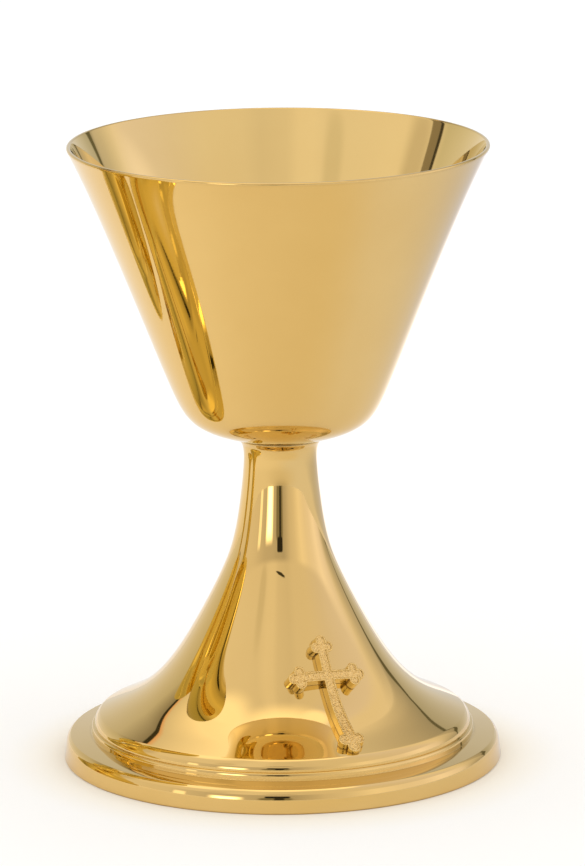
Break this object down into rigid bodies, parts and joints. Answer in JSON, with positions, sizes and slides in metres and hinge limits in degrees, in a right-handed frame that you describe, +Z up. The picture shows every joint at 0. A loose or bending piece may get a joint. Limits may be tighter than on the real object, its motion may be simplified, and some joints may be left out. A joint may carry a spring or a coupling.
{
  "type": "communion chalice",
  "caption": "Gold-plated communion chalice: a flared cup that unscrews from a trumpet stem on a stepped round foot with an applied budded cross.",
  "frame": {"origin": "centre of the foot's resting plane", "axes": "+Z up along the cup and stem, -Y towards the front, +X to the viewer's right; the cross sits 23 degrees from the front towards +X"},
  "size_m": [0.1074, 0.1074, 0.1524],
  "materials": {
    "cup_gold": "gold plated, polished outside and lightly satin inside",
    "fitting_brass": "turned",
    "washer_brass": "dull",
    "stem_gold": "gold plated, mirror polished",
    "foot_gold": "gold plated, mirror polished",
    "wire_brass": "drawn wire, tinned with solder",
    "cross_gold": "gold plated, stippled face and bright edges",
    "fastener_steel": "zinc plated"
  },
  "bodies": {
    "base": {"stem_skirt": "stem_gold", "foot_plinth": "foot_gold", "foot_wire": "wire_brass", "neck_ferrule": "fitting_brass", "cross_plate": "cross_gold", "cross_screws": "fastener_steel", "cross_washers": "fastener_steel"},
    "washer": {"seat_washer": "washer_brass"},
    "cup": {"cup_bowl": "cup_gold", "cup_boss": "fitting_brass", "cup_stud": "fitting_brass"}
  },
  "joints": [
    {"name": "cup_rise", "type": "slide", "parent": "base", "child": "washer", "axis": [0, 0, 1], "range_m": [0, 0.00875]},
    {"name": "cup_turn", "type": "hinge", "parent": "washer", "child": "cup", "pos_m": [0, 0, 0.08], "axis": [0, 0, 1], "range_deg": [0, 2520]}
  ],
  "couplings": [
    {"joint": "cup_rise", "follows": "cup_turn", "m_per_rad": 0.00019894}
  ]
}
